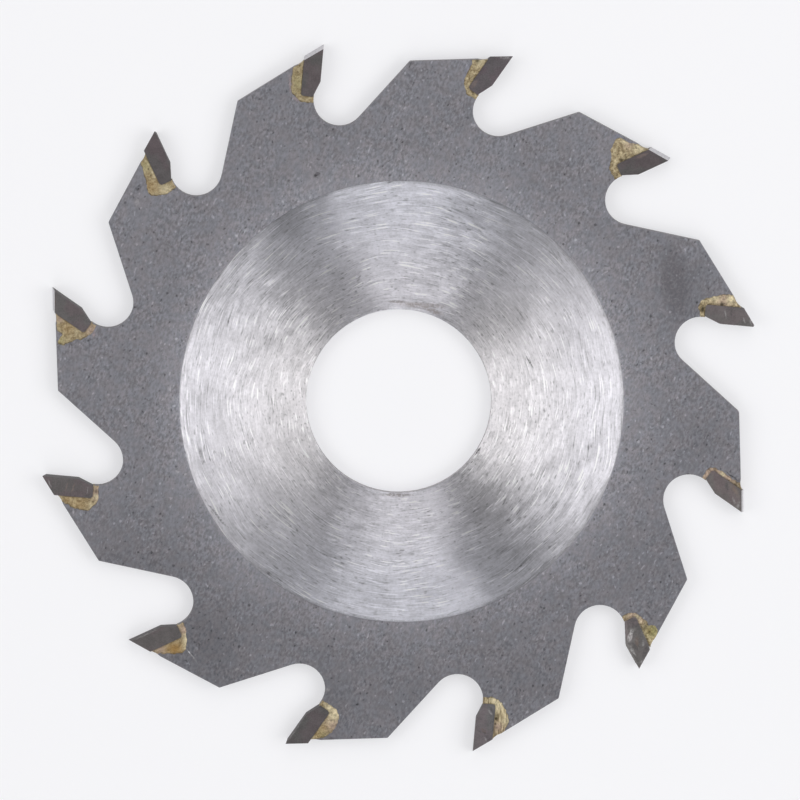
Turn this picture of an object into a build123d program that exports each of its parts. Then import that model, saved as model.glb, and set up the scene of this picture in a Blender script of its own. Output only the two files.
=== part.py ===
from build123d import *
import math
import os

# Circular saw blade: a flat steel plate with twelve brazed carbide teeth and a large bore.
# Lengths are in millimetres and angles in degrees.
# Z is the axis of the bore, and the plate's middle plane is at Z = 0. The blade lies flat, and its front
# face looks up. Seen from there, the teeth cut clockwise and are numbered clockwise from the top.

# The blade as a whole, measured across its cutting points
blade_diameter = 100.0
tooth_count = 12
first_tooth_angle = 101.8

# The plate, its bore and the ring that is ground bright round the bore on both faces
plate_thickness = 1.8
bore_diameter = 25.4
bore_edge_break = 0.1
ring_diameter = 61.0
ring_depth = 0.05
ring_offset_x = 0.4
ring_offset_y = -0.12

# The back of each tooth: a heel inside the cutting circle, a long sloping top and a short flatter shoulder
# behind the tip
heel_drop = 3.23
heel_lag = 16.3
heel_rounding = 0.25
shoulder_length = 1.3
shoulder_slope = 9.0

# The carbide tip, measured down its cutting face and back from it. It stands out beyond each face of the
# plate and above the shoulder.
tip_length = 7.1
tip_thickness = 2.5
tip_corner_radius = 0.4
tip_side_stand = 0.4
tip_stand = 0.8
hook_angle = 16.9
top_relief = 18.8
top_bevel = 8.0
side_clearance_down = 1.25
side_clearance_back = 2.0
toe_chamfer_length = 2.17
toe_chamfer_back = 0.88

# The round gullet in front of each tooth. Its wall passes just ahead of the tip's toe, and its centre lies
# a little below square to the cutting face.
gullet_radius = 3.54
gullet_tilt = 3.5
toe_inset = 0.14

# The sixth tip's cutting face was left proud. It rises to one point and on to a second, highest one, each
# given by its distance down the face and its height.
swollen_tip = 6
swell_first_down = 1.2
swell_first_height = 0.27
swell_top_down = 3.9
swell_top_height = 0.45

# The braze: its film between tip and plate, and the smear on the faces of the plate
braze_gap = 0.15
smear_thickness = 0.12

# How far each smear reaches beyond its tip: at five places down the tip's back, then on the diagonal of
# its bottom corner, then at three places along its bottom. Each tooth has its own on the front face.
front_smears = [
    ((1.3, 1.4, 1.5, 1.5, 1.1), 0.7, (0.7, 0.9, 0.8)),
    ((1.7, 1.6, 1.4, 1.2, 0.8), 0.5, (0.6, 0.8, 0.7)),
    ((1.0, 1.7, 2.9, 2.9, 1.6), 0.8, (1.0, 1.0, 0.7)),
    ((1.5, 1.6, 1.6, 1.3, 0.9), 0.8, (0.8, 0.8, 0.6)),
    ((0.5, 0.5, 0.6, 0.5, 0.4), 0.3, (0.3, 0.5, 0.5)),
    ((1.4, 1.7, 1.6, 0.9, 0.6), 0.4, (0.4, 0.8, 0.6)),
    ((1.4, 1.7, 1.9, 1.7, 1.1), 0.7, (0.8, 0.9, 0.8)),
    ((0.5, 1.3, 1.7, 1.8, 1.4), 1.0, (0.9, 0.8, 0.7)),
    ((0.6, 1.0, 1.6, 1.9, 1.3), 0.6, (0.6, 0.9, 0.9)),
    ((0.8, 1.2, 1.6, 1.8, 1.4), 0.9, (0.8, 0.8, 0.7)),
    ((0.8, 1.6, 2.6, 2.5, 1.2), 0.8, (0.8, 0.9, 0.8)),
    ((1.1, 1.3, 1.5, 1.7, 2.0), 1.7, (1.5, 1.5, 1.2)),
]
back_smear = ((0.9, 1.0, 1.1, 1.0, 0.8), 0.5, (0.6, 0.7, 0.6))

# Sizes that follow from the ones above
blade_radius = blade_diameter / 2
half_plate = plate_thickness / 2
half_kerf = half_plate + tip_side_stand
pitch = 360 / tooth_count
tip_back_top = tip_thickness * math.tan(math.radians(hook_angle + top_relief))
shoulder_down = tip_back_top + tip_stand
same_size = 1e-6


# One tooth is drawn in its own frame: Y runs outward from the blade's axis through the cutting edge, and
# X points the way the tooth cuts.

def polar_point(radius, lead):
    """Point at a radius from the axis, and at an angle ahead of the cutting edge."""
    angle = math.radians(lead)
    return Vector(radius * math.sin(angle), radius * math.cos(angle))


def direction(angle):
    """Unit vector at an angle, counter-clockwise from X."""
    return Vector(math.cos(math.radians(angle)), math.sin(math.radians(angle)))


cutting_point = polar_point(blade_radius, 0)
down_the_face = direction(-90 - hook_angle)
back_from_face = direction(180 - hook_angle)
heel_point = polar_point(blade_radius - heel_drop, -heel_lag)


def tip_point(down, back):
    """Point of the tip, by its distance down the cutting face and back from it."""
    return cutting_point + down_the_face * down + back_from_face * back


toe_point = tip_point(tip_length, toe_chamfer_back)
gullet_centre = toe_point + direction(-hook_angle - gullet_tilt) * (gullet_radius + toe_inset)


def turned(point, steps):
    """The same point on another tooth, counted clockwise."""
    return point.rotate(Axis.Z, -steps * pitch)


def face_of(points):
    """Face inside a closed run of straight lines."""
    return make_face(Polyline(*points, close=True))


def round_corner(face, corner, radius):
    """Round the one corner of a face that lies at a point."""
    vertex = face.vertices().sort_by_distance(corner)[0]
    return fillet(vertex, radius)


def tangent_point():
    """Where the line down from the heel meets the gullet of the tooth behind."""
    centre = turned(gullet_centre, -1)
    to_centre = centre - heel_point
    bearing = math.degrees(math.atan2(to_centre.Y, to_centre.X))
    bearing += math.degrees(math.asin(gullet_radius / to_centre.length))
    reach = math.sqrt(to_centre.length**2 - gullet_radius**2)
    return heel_point + direction(bearing) * reach


def tooth_edges(step):
    """Edges of the plate from the back of one tooth, over its top and through the gullet in front."""
    shoulder_end = tip_point(shoulder_down, tip_thickness)
    shoulder_start = shoulder_end - direction(shoulder_slope) * shoulder_length
    inside_tip = tip_point(shoulder_down, tip_thickness / 2)
    gullet_start = gullet_centre + (toe_point - gullet_centre).normalized() * gullet_radius
    gullet_floor = gullet_centre - gullet_centre.normalized() * gullet_radius
    corners = [tangent_point(), heel_point, shoulder_start, shoulder_end, inside_tip, toe_point, gullet_start]
    corners = [turned(corner, step) for corner in corners]
    lines = [Line(a, b) for a, b in zip(corners, corners[1:])]
    next_tangent = turned(tangent_point(), step + 1)
    return lines + [ThreePointArc(corners[-1], turned(gullet_floor, step), next_tangent)]


def blank_outline():
    """Plate with all its teeth, before the seats for the tips are cut."""
    edges = [edge for step in range(tooth_count) for edge in tooth_edges(step)]
    blank = make_face(edges)
    for step in range(tooth_count):
        blank = round_corner(blank, turned(heel_point, step), heel_rounding)
    return blank


def seat_outline():
    """Seat of one tip: the tip's own back and bottom, moved out by the braze film."""
    floor = tip_length + braze_gap
    wall = tip_thickness + braze_gap
    corner = tip_point(floor, wall)
    seat = face_of([tip_point(0, 0), tip_point(floor, 0), corner, tip_point(0, wall)])
    return round_corner(seat, corner, tip_corner_radius + braze_gap)


def tip_outline(swollen):
    """Side view of one tip, with a chamfered toe and a rounded bottom corner at the back."""
    corner = tip_point(tip_length, tip_thickness)
    front = [tip_point(0, 0)]
    if swollen:
        front.append(tip_point(swell_first_down, -swell_first_height))
        front.append(tip_point(swell_top_down, -swell_top_height))
    else:
        front.append(tip_point(tip_length - toe_chamfer_length, 0))
    rest = [toe_point, corner, tip_point(tip_back_top, tip_thickness)]
    return round_corner(face_of(front + rest), corner, tip_corner_radius)


def at_tooth(shape, number):
    """Turn a shape from the tooth frame to its place on the blade."""
    return Rot(0, 0, first_tooth_angle - 90 - (number - 1) * pitch) * shape


def blade_body(blank, seat):
    """Steel plate with its seats, bore and ground rings."""
    outline = blank
    for step in range(tooth_count):
        outline -= Rot(0, 0, -step * pitch) * seat
    plate = at_tooth(extrude(outline, half_plate, both=True), 1)
    ring = Cylinder(ring_diameter / 2, 2 * ring_depth)
    for side in (-1, 1):
        plate -= Pos(ring_offset_x, ring_offset_y, side * half_plate) * ring
    plate -= Cylinder(bore_diameter / 2, 2 * plate_thickness)
    rims = [edge for edge in plate.edges().filter_by(GeomType.CIRCLE)
            if abs(edge.radius - bore_diameter / 2) < same_size]
    return chamfer(rims, bore_edge_break)


def bevel_plane(side):
    """Plane of a tip's ground top, which falls away from the side with the high corner."""
    across = direction(top_relief + 90)
    tilt = math.radians(top_bevel)
    normal = across * math.cos(tilt) - Vector(0, 0, side) * math.sin(tilt)
    return Plane(origin=cutting_point + Vector(0, 0, side * half_kerf), z_dir=normal)


def side_plane(side):
    """Plane of a tip's ground side, which leans in down the tip and towards its back."""
    lean = down_the_face * math.tan(math.radians(side_clearance_down))
    lean += back_from_face * math.tan(math.radians(side_clearance_back))
    return Plane(origin=cutting_point + Vector(0, 0, side * half_kerf), z_dir=lean + Vector(0, 0, side))


def carbide_tip(number):
    """One carbide tip. Even tips have their high corner on the front face and odd tips on the back."""
    high_side = 1 if number % 2 == 0 else -1
    tip = extrude(tip_outline(number == swollen_tip), half_kerf, both=True)
    for plane in (bevel_plane(high_side), side_plane(1), side_plane(-1)):
        tip = split(tip, bisect_by=plane, keep=Keep.BOTTOM)
    return at_tooth(tip, number)


def smear_outline(reaches):
    """Outline of the braze that ran out round one tip, from its reaches."""
    down_back, diagonal, along_bottom = reaches
    points = []
    for place, reach in enumerate(down_back):
        share = place / (len(down_back) - 1)
        down = shoulder_down + (tip_length - shoulder_down) * share
        points.append(tip_point(down, tip_thickness + reach))
    offset = diagonal * math.sqrt(0.5)
    points.append(tip_point(tip_length + offset, tip_thickness + offset))
    for place, reach in enumerate(along_bottom):
        share = place / (len(along_bottom) - 1)
        back = tip_thickness + (toe_chamfer_back - tip_thickness) * share
        points.append(tip_point(tip_length + reach, back))
    end = tip_point(tip_length + along_bottom[-1], 0)
    start = tip_point(0, tip_thickness + down_back[0])
    edge = Spline(*points)
    closing = Polyline(points[-1], end, tip_point(0, 0), start, points[0])
    return make_face([edge, closing])


def braze_seam(number, blank, seat):
    """Braze of one tip: the film in its seat and the smear on each face of the plate, in one piece."""
    tip = tip_outline(number == swollen_tip)
    front_reaches = front_smears[(number - 1) % len(front_smears)]
    seam = extrude((blank & seat) - tip, half_plate, both=True)
    for side, reaches in ((1, front_reaches), (-1, back_smear)):
        smear = (blank & smear_outline(reaches)) - tip
        layer = extrude(smear, smear_thickness, dir=(0, 0, side))
        seam += Pos(0, 0, side * half_plate) * layer
    return at_tooth(seam, number)


def save(shape, name):
    """Write one named piece."""
    shape.label = name
    export_step(shape, f"parts/{name}.step")


os.makedirs("parts", exist_ok=True)
blank = blank_outline()
seat = seat_outline()
save(blade_body(blank, seat), "blade_body")
for number in range(1, tooth_count + 1):
    save(carbide_tip(number), f"carbide_tip_{number:02d}")
    save(braze_seam(number, blank, seat), f"braze_seam_{number:02d}")
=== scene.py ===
import math

import bmesh
import bpy
import numpy as np
from mathutils import Matrix, Vector, geometry, noise


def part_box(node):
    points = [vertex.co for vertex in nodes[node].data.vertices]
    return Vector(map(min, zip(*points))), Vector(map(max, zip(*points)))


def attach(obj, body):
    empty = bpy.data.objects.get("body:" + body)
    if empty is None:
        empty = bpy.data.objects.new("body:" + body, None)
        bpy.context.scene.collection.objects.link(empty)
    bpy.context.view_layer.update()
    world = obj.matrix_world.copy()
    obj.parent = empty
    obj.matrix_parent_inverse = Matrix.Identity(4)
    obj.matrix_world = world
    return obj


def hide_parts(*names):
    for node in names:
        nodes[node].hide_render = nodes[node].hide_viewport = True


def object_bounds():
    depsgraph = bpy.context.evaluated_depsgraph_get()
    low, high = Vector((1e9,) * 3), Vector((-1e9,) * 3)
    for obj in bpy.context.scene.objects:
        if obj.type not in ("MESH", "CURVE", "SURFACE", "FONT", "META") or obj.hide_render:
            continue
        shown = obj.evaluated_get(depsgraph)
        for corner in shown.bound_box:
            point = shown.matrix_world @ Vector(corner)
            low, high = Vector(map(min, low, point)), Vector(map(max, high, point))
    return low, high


# Looks of the circular saw blade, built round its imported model.
# Sizes are in millimetres and become metres where an object is made. Angles are in degrees.
mm = 0.001

# Sizes of the blade that the braze, the marks and the finishes are placed by
blade_radius = 50.0
tooth_count = 12
first_tooth_angle = 101.8
ring_radius = 30.5
ring_centre = (0.4, -0.12)
heel_drop = 3.23
heel_lag = 16.3
shoulder_length = 1.3
shoulder_slope = 9.0
tip_length = 7.1
tip_thickness = 2.5
tip_corner_radius = 0.4
tip_stand = 0.8
hook_angle = 16.9
top_relief = 18.8
toe_chamfer_back = 0.88
gullet_radius = 3.54
gullet_tilt = 3.5
toe_inset = 0.14
braze_gap = 0.15

# Sizes that follow
pitch = 360 / tooth_count
shoulder_down = tip_thickness * math.tan(math.radians(hook_angle + top_relief)) + tip_stand

# The camera, by its place from the blade's middle and the direction of the picture's right and top
camera_place = (-8.4, 136.8, 1136.7)
picture_right = (1.0, -0.0003, 0.0073)
picture_up = (0.0, 0.9928, -0.1196)
camera_lens = 375.1
camera_shift = (0.00299, 0.00193)

# Soft boxes: bearing round the blade, height above the floor as an angle, width, height and power
box_distance = 600.0
soft_boxes = {
    "softbox_right": (358, 47, 490, 420, 1.5),
    "softbox_left": (175, 47, 520, 420, 1.22),
    "softbox_top": (87, 47, 310, 420, 0.54),
    "softbox_bottom": (270, 47, 270, 420, 0.47),
    "softbox_corner": (48, 47, 220, 420, 0.1),
}
world_level = 0.3
floor_size = 6000.0

# Braze on the front face of each tooth. Its outline runs from the plate's top edge round to the gullet, as
# (down, back) from the cutting edge.
front_braze = [
    [(3.2, 3.8), (4.4, 4.0), (5.5, 4.0), (6.5, 3.9), (7.0, 3.6), (7.4, 3.2), (7.9, 2.4), (8.0, 1.7),
     (7.9, 1.0)],
    [(3.4, 4.2), (4.4, 3.9), (5.4, 3.8), (6.4, 3.5), (7.0, 3.2), (7.6, 2.6), (7.9, 1.9), (7.8, 1.0)],
    [(3.2, 3.8), (4.3, 4.5), (4.9, 5.5), (5.8, 5.6), (6.9, 4.7), (7.3, 3.7), (7.8, 3.0), (8.2, 2.3),
     (8.1, 1.3)],
    [(3.4, 4.1), (4.5, 4.1), (5.4, 3.9), (6.4, 3.6), (7.3, 3.2), (7.9, 2.8), (8.0, 2.0), (7.7, 1.0)],
    [(2.9, 3.15), (4.1, 3.05), (4.9, 3.1), (5.7, 3.05), (6.7, 2.9), (7.5, 2.6), (7.7, 1.9), (7.6, 0.8)],
    [(3.2, 3.9), (3.9, 4.3), (4.7, 4.3), (5.2, 3.6), (5.8, 3.5), (6.7, 3.1), (7.4, 2.7), (7.9, 1.7),
     (7.7, 0.9)],
    [(3.1, 3.9), (4.2, 4.4), (5.1, 4.5), (6.0, 4.2), (6.7, 3.8), (7.3, 3.4), (7.9, 2.6), (8.1, 1.9),
     (7.9, 1.2)],
    [(2.7, 3.0), (4.0, 4.0), (5.0, 4.3), (5.8, 4.3), (6.6, 4.2), (7.3, 3.8), (7.8, 3.2), (8.0, 2.2),
     (7.8, 1.0)],
    [(3.0, 3.1), (4.4, 3.9), (5.6, 4.4), (6.4, 4.5), (6.7, 4.3), (7.2, 3.6), (7.7, 2.5), (8.0, 1.7),
     (8.0, 1.0)],
    [(3.1, 3.3), (4.2, 3.9), (5.2, 4.2), (6.1, 4.3), (6.8, 4.2), (7.3, 3.6), (7.8, 3.0), (7.9, 2.2),
     (7.8, 1.1)],
    [(3.1, 3.3), (3.9, 4.3), (4.8, 4.4), (4.8, 5.5), (5.4, 5.7), (6.0, 5.1), (6.7, 3.9), (7.4, 3.4),
     (8.0, 1.7), (7.9, 1.0)],
    [(3.1, 3.6), (4.4, 3.8), (5.5, 4.0), (6.4, 4.2), (7.1, 4.4), (7.8, 4.3), (8.2, 3.5), (8.4, 2.6),
     (8.5, 1.8), (8.2, 0.8)],
]
back_braze = [(3.0, 3.4), (4.2, 3.5), (5.4, 3.6), (6.5, 3.5), (7.2, 3.2), (7.6, 2.6), (7.8, 1.8), (7.7, 0.9)]

# Spots of the braze on each front face: the kind, its place as (down, back) and its radius
braze_spots = {
    1: [("pit", 3.0, 3.0, 0.12), ("pink", 5.6, 4.0, 0.5), ("pit", 6.9, 3.2, 0.1), ("pit", 3.9, 3.2, 0.1),
        ("olive", 5.4, 3.4, 1.2)],
    2: [("pit", 3.3, 3.6, 0.26), ("dark", 7.2, 1.6, 0.2), ("dark", 5.6, 2.6, 0.2), ("pit", 6.0, 3.1, 0.1),
        ("pale", 3.3, 3.2, 0.6)],
    3: [("pit", 6.3, 2.8, 0.2), ("pit", 5.0, 2.9, 0.1), ("pink", 4.2, 4.4, 0.8), ("pit", 3.7, 3.4, 0.12),
        ("pit", 5.4, 3.2, 0.1), ("dark", 5.6, 2.7, 0.35), ("pale", 3.4, 3.3, 0.9), ("pale", 4.6, 5.0, 0.5)],
    4: [("pit", 4.95, 2.72, 0.27), ("pit", 7.45, 2.0, 0.25), ("pit", 7.5, 1.6, 0.22), ("pink", 4.6, 3.4, 1.2),
        ("pale", 6.0, 3.6, 0.7), ("pit", 4.3, 2.8, 0.1), ("pale", 3.7, 3.5, 0.7)],
    5: [("pink", 5.2, 2.9, 2.0), ("pink", 7.3, 1.6, 1.0), ("pale", 5.6, 2.8, 0.4), ("dark", 3.3, 3.0, 0.4)],
    6: [("green", 4.2, 3.8, 1.0), ("pink", 7.2, 2.6, 1.3), ("pit", 4.3, 3.3, 0.2), ("pale", 6.9, 2.7, 0.4),
        ("dark", 5.2, 3.0, 0.4), ("amber", 4.4, 3.3, 0.4)],
    7: [("pit", 5.1, 2.75, 0.17), ("pit", 4.4, 2.7, 0.12), ("pale", 7.2, 3.0, 0.9), ("pale", 5.0, 4.2, 0.6),
        ("dark", 5.6, 2.8, 0.25), ("pale", 7.8, 2.1, 0.5), ("pink", 4.0, 3.1, 0.7), ("dark", 3.9, 2.9, 0.25)],
    8: [("amber", 3.5, 2.9, 0.6), ("olive", 3.8, 3.4, 0.8), ("pink", 6.0, 3.9, 1.1), ("pale", 7.0, 3.2, 0.9),
        ("pit", 6.2, 3.3, 0.08), ("pale", 7.6, 1.9, 0.5), ("amber", 4.8, 3.0, 0.6)],
    9: [("orange", 5.6, 3.6, 0.9), ("amber", 4.6, 3.3, 0.8), ("pink", 3.6, 2.8, 0.8), ("pale", 6.9, 4.1, 0.4),
        ("pale", 7.3, 3.4, 0.45), ("pale", 7.6, 2.7, 0.45), ("pink", 7.8, 1.8, 0.9)],
    10: [("pale", 7.6, 2.2, 0.3), ("amber", 5.4, 3.5, 1.1), ("amber", 3.7, 3.0, 0.6), ("pit", 7.2, 3.0, 0.12),
         ("pale", 7.0, 3.6, 0.3), ("pink", 7.7, 1.7, 1.0), ("dark", 7.6, 1.5, 0.3)],
    11: [("pink", 7.6, 1.6, 0.8), ("amber", 4.9, 3.2, 0.9), ("pit", 4.6, 4.3, 0.08), ("pink", 3.3, 2.8, 0.5),
         ("olive", 5.1, 5.2, 0.7)],
    12: [("pit", 4.4, 3.0, 0.1), ("pale", 5.0, 2.75, 0.2), ("pale", 3.9, 2.75, 0.25),
         ("pale", 5.7, 2.75, 0.2), ("pit", 5.3, 3.1, 0.1), ("amber", 6.8, 3.8, 1.2), ("pale", 7.8, 2.2, 0.8),
         ("olive", 3.8, 3.2, 0.8)],
}

# How lumpy each tooth's braze is, as a share of the lumpiest
braze_lumpiness = [0.4, 0.6, 0.8, 1.0, 0.9, 1.0, 1.0, 0.7, 0.4, 0.5, 0.5, 0.4]
streaky_braze = 7

# How each kind of spot counts: its shares of pink, pale, green and orange, or how dark it is. The seam along
# the tip is darkened too, as painted shade in the crease beside the tip, and the last number is how much of
# the brightness the darkest place loses, from dark spots, pits and that painted shade.
spot_tones = {"pink": (1, 0, 0, 0), "pale": (0, 1, 0, 0), "green": (0, 0, 1, 0), "olive": (0, 0, 0.45, 0),
              "orange": (0, 0, 0, 1), "amber": (0, 0, 0, 0.4)}
spot_darkness = {"pit": 1.0, "dark": 0.6}
seam_shade = 0.5
seam_shade_width = 0.12
pit_depth = 0.85
burn_and_shade = 0.8

# The fillet behind each tip: how far it climbs, and its profile by distance back and share of that height
fillet_rises = [0.34, 0.22, 0.38, 0.36, 0.5, 0.32, 0.32, 0.15, 0.24, 0.24, 0.28, 0.3]
fillet = [(0.85, 0.0), (0.5, 0.22), (0.2, 0.6), (0.04, 1.0)]

# Steps in which the braze is drawn: along its outer edge, its other sides and the tip's bottom, and inside
outline_step = 0.1
side_step = 0.12
bottom_step = 0.4
back_steps = 10
cell = 0.13

# How high the braze stands, the width of its rounded edge, and its swell and lumps
braze_crown = 0.15
braze_edge = 0.4
swell = 0.05
least_lumps = 0.02
more_lumps = 0.06
thinnest = 0.01
braze_crease = 50

# How far the smears and the film go under the tip and into the plate, and how far smears stay from its edges
under_tip = 0.06
film_under_tip = 0.04
film_in_plate = 0.02
sunk = 0.03
least_inset = 0.02

# How ragged the smears are on the front and the back, and what moves the noise on from tooth to tooth
front_wander = 0.16
back_wander = 0.7
wander_waves = 2.2
outline_shift = 7.3
lump_shift = 3.7

# How far the braze thins out at the plate's edges and beside the tip, and how far in it is full again
edge_share, edge_reach = 0.35, 0.3
beside_share, beside_reach = 0.55, 0.2

# Shade of each tip's front face
tip_shades = [(96, 90, 91), (98, 90, 94), (92, 86, 87), (107, 102, 102), (110, 102, 102), (105, 99, 99),
              (107, 102, 104), (91, 86, 87), (99, 92, 93), (100, 93, 94), (102, 96, 97), (95, 88, 90)]

# The worn tips: how far the top is eaten, the size of the chip off the point, how far the skin is eaten at
# most, the rolled edge as (down, back), and dents as (down, back), radius and depth. The roll and the dents
# fade out below a height.
worn_tips = {
    4: {"top": 0.0, "chip": 0.34, "skin": 0.02, "roll": [], "dents": [(4.0, 1.4, 0.5, 0.03)]},
    6: {"top": 0.25, "chip": 0.12, "skin": 0.05,
        "roll": [(1.2, 0.0), (3.0, -0.15), (4.4, 0.0), (5.3, 0.6), (6.9, 1.1)],
        "dents": [(2.6, 1.7, 0.5, 0.08), (3.9, 1.5, 0.4, 0.07), (5.3, 1.9, 0.35, 0.06),
                  (1.1, 0.6, 0.3, 0.06)]},
}
worn_cell = 0.06
least_wear = 0.008
roll_width = 0.65
roll_depth = 0.27
top_reach = 1.2
full_wear_height = 0.9
tip_crease = 40

# Marks on the front face: the kind, its two ends and half its width.
# Those near a tooth are placed by (down, back), and the others by (x, y) on the blade.
tooth_marks = {
    1: [("pink", 4.6, 4.25, 6.9, 3.9, 0.2), ("pink", 7.5, 3.4, 7.9, 2.6, 0.2)],
    2: [("light", 1.1, 1.9, 0.5, 0.2, 0.35), ("rust", 5.7, 2.1, 6.6, 2.2, 0.3),
        ("blue", 4.4, 4.3, 6.8, 3.7, 0.25)],
    3: [("blue", 4.4, 5.9, 6.0, 6.0, 0.35), ("rust", 2.6, 2.1, 4.2, 2.2, 0.2)],
    4: [("light", 0.6, 0.3, 0.9, 1.0, 0.12), ("light", 1.5, 0.4, 1.8, 1.2, 0.1),
        ("light", 4.2, 0.9, 4.4, 2.0, 0.1), ("dark", 3.4, 1.0, 3.6, 2.2, 0.12)],
    5: [("light", 1.4, 0.3, 1.5, 0.9, 0.3), ("rust", 2.2, 1.6, 3.8, 2.2, 0.4),
        ("black", 3.5, 3.25, 5.4, 3.3, 0.12), ("dark", 3.7, 1.2, 4.5, 2.1, 0.25),
        ("light", 2.0, 0.5, 2.5, 0.9, 0.2), ("brown", 3.0, 1.8, 3.5, 2.4, 0.25)],
    # The two bright marks along the rolled edge are painted highlights.
    6: [("shine", 2.2, 0.15, 3.5, 0.05, 0.2), ("shine", 4.4, 0.25, 5.4, 1.15, 0.32),
        ("dark", 6.4, 1.5, 5.7, 2.1, 0.5), ("dark", 7.2, 1.4, 6.4, 2.2, 0.35),
        ("brown", 3.2, 0.9, 4.3, 1.4, 0.3),
        ("dark", 2.4, 0.8, 3.9, 0.6, 0.2), ("dark", 1.5, 1.2, 2.6, 2.1, 0.35),
        ("light", 3.0, 1.8, 3.4, 2.0, 0.2), ("light", 1.0, 0.4, 1.1, 1.2, 0.12),
        ("dark", 5.6, 4.4, 7.2, 4.0, 0.2), ("dark", 6.8, 4.9, 7.6, 4.6, 0.12)],
    7: [("dark", 2.0, 2.2, 2.6, 1.5, 0.4), ("light", 2.0, 1.7, 2.4, 1.4, 0.14),
        ("brown", 3.1, 1.5, 3.5, 1.0, 0.25), ("dark", 2.3, 2.42, 6.6, 2.38, 0.13),
        ("light", 5.7, 2.1, 6.2, 1.6, 0.12), ("dark", 6.0, 2.2, 6.6, 1.8, 0.2),
        ("dark", 2.9, 1.9, 3.3, 0.5, 0.15)],
    8: [("dark", 3.6, 4.4, 4.2, 5.0, 0.3), ("brown", 3.0, 3.4, 3.4, 4.3, 0.2),
        ("light", 0.6, 0.06, 3.6, 0.06, 0.05)],
    # The white mark here is a painted glint.
    9: [("white", 6.95, 4.5, 7.1, 5.2, 0.08), ("light", 7.0, 4.5, 7.45, 6.8, 0.12),
        ("light", 1.0, 0.08, 4.6, 0.1, 0.07)],
    10: [("light", 6.4, 1.0, 6.3, 1.9, 0.08), ("rust", 3.6, 0.7, 3.3, 1.7, 0.12),
         ("rust", 4.5, 0.7, 4.2, 1.9, 0.12), ("light", 0.9, 0.5, 1.3, 1.4, 0.12)],
    11: [("brown", 1.0, 0.3, 1.9, 2.2, 0.06), ("pink", 8.1, 1.5, 8.4, 2.2, 0.2)],
    12: [],
}
plate_marks = [
    ("black", -35.79, 29.27, -35.5, 29.5, 0.3),
    ("light", -35.87, 27.33, -35.8, 27.6, 0.35),
    ("black", -42.54, 8.49, -42.4, 8.6, 0.22),
    ("black", -5.78, -42.09, -5.7, -42.0, 0.22),
    ("light", -22.34, -37.17, -22.2, -37.1, 0.25),
    ("light", -9.83, -40.08, -9.7, -40.0, 0.25),
    ("light", -16.56, -33.2, -16.4, -33.1, 0.25),
    ("black", -11.4, 31.1, -11.0, 31.4, 0.3),
    ("shade", 38.4, 12.8, 37.4, 19.8, 2.1),
]
ring_marks = [
    ("rust", 0.2, 13.4, 6.2, 13.1, 0.4),
    ("rust", 3.4, 12.9, 5.8, 12.1, 0.35),
    ("brown", -1.4, 13.8, 0.9, 13.7, 0.2),
    ("brown", -2.4, -12.9, 1.6, -13.0, 0.25),
    ("black", 10.6, -7.3, 11.2, -6.5, 0.16),
    ("black", 17.46, 6.2, 18.4, 4.7, 0.12),
    ("dark", -26.7, -13.6, -23.6, -17.4, 0.15),
    # The white marks are painted glints on the ring's dark fans.
    ("white", 17.7, 17.9, 18.8, 16.8, 0.15),
    ("white", 11.8, 25.3, 16.0, 23.9, 0.12),
    ("white", 9.0, 21.4, 12.6, 20.0, 0.1),
]
mark_looks = {
    "black": ((46, 44, 47), 0.9),
    "dark": ((76, 73, 76), 0.6),
    "shade": ((104, 102, 107), 0.9),
    "light": ((172, 170, 171), 0.5),
    # Painted highlight, on the worn tip's rolled edge.
    "shine": ((204, 202, 202), 0.6),
    # White marks are painted glints: scratches and edges lit bright.
    "white": ((250, 249, 252), 0.7),
    "pink": ((168, 150, 150), 0.6),
    "blue": ((134, 137, 154), 0.55),
    "rust": ((138, 121, 112), 0.5),
    "brown": ((104, 88, 80), 0.6),
}

# A mark fades between two shares of its half width, reaches through the blade, and has edges that stray
mark_fade = (0.4, 1.3)
mark_depth = 1000.0
mark_stir = 0.35

# The plate's skin: its colours, the lean and size of its flecks, how its brightness changes from one distance
# from the ring's centre to another, the painted shade that darkens it towards the bottom, and a painted
# highlight: the bright line to both sides of the ring
cool_skin = (130.7, 131, 137.7)
warm_skin = (133.3, 131, 136.3)
fleck_lean = 22
fleck_size = (0.33, 0.55, 0.33)
skin_levels = [(30.4, 36, 1.2, 1.0), (35, 41, 1.0, 0.955)]
skin_shading = (-42, 5, 0.86, 1.01)
highlight_rim_width = 0.4
highlight_rim_gain = 0.3
highlight_rim_sides = (17, 28)

# The ring: its colours inside and outside, above and below the centre and then beside it, and between what
# limits they change, how its edge darkens and strays to the left, and the radius at which an arc has the
# length that is given for it. Its colours are a painted reflection tint: more neutral beside the centre,
# where its brightest reflections fall, and bluer above and below.
ring_reflection_tints = [[(224, 222, 229), (222, 222, 231)], [(226, 223, 226), (225, 223, 229)]]
tint_reach = (14, 29)
tint_sides = (0.4, 0.95)
edge_fade = 0.55
edge_level = 0.7
edge_stray = (-30, -10, -0.4, 0.0)
ring_middle = 22.0

# How far in millimetres the ring's arcs stray, and how far in radians its grain sways
arc_stir = 1.6
slow_sway = 0.5
quick_sway = 0.4

# Single strokes on the ring: length, width and shift of their pattern, the limits of its noise, and how much
# brighter they are
crowded_strokes = [(2.3, 0.18, 60, (0.6, 0.82), 0.42), (0.75, 0.2, 90, (0.63, 0.84), -0.35)]
long_scores = (4.0, 0.15, 120, (0.68, 0.84), -0.3)

# Places where the grinding strays from its circles: their direction in degrees, distance from the ring's
# centre and reach, and the turn of the strokes in radians
strays = [(240, 25, 9, -0.17), (222, 27, 7, -0.12), (214, 18, 5, -0.1), (287, 18, 7, -0.16),
          (325, 28, 5, 0.12), (334, 17, 6, 0.12), (111, 24, 6, -0.09), (106, 14, 6, 0.17), (70, 28, 7, -0.12),
          (138, 25, 6, 0.07), (75, 16, 5, 0.1), (58, 14.5, 4, 0.15), (152, 30, 4, 0.1)]
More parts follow.
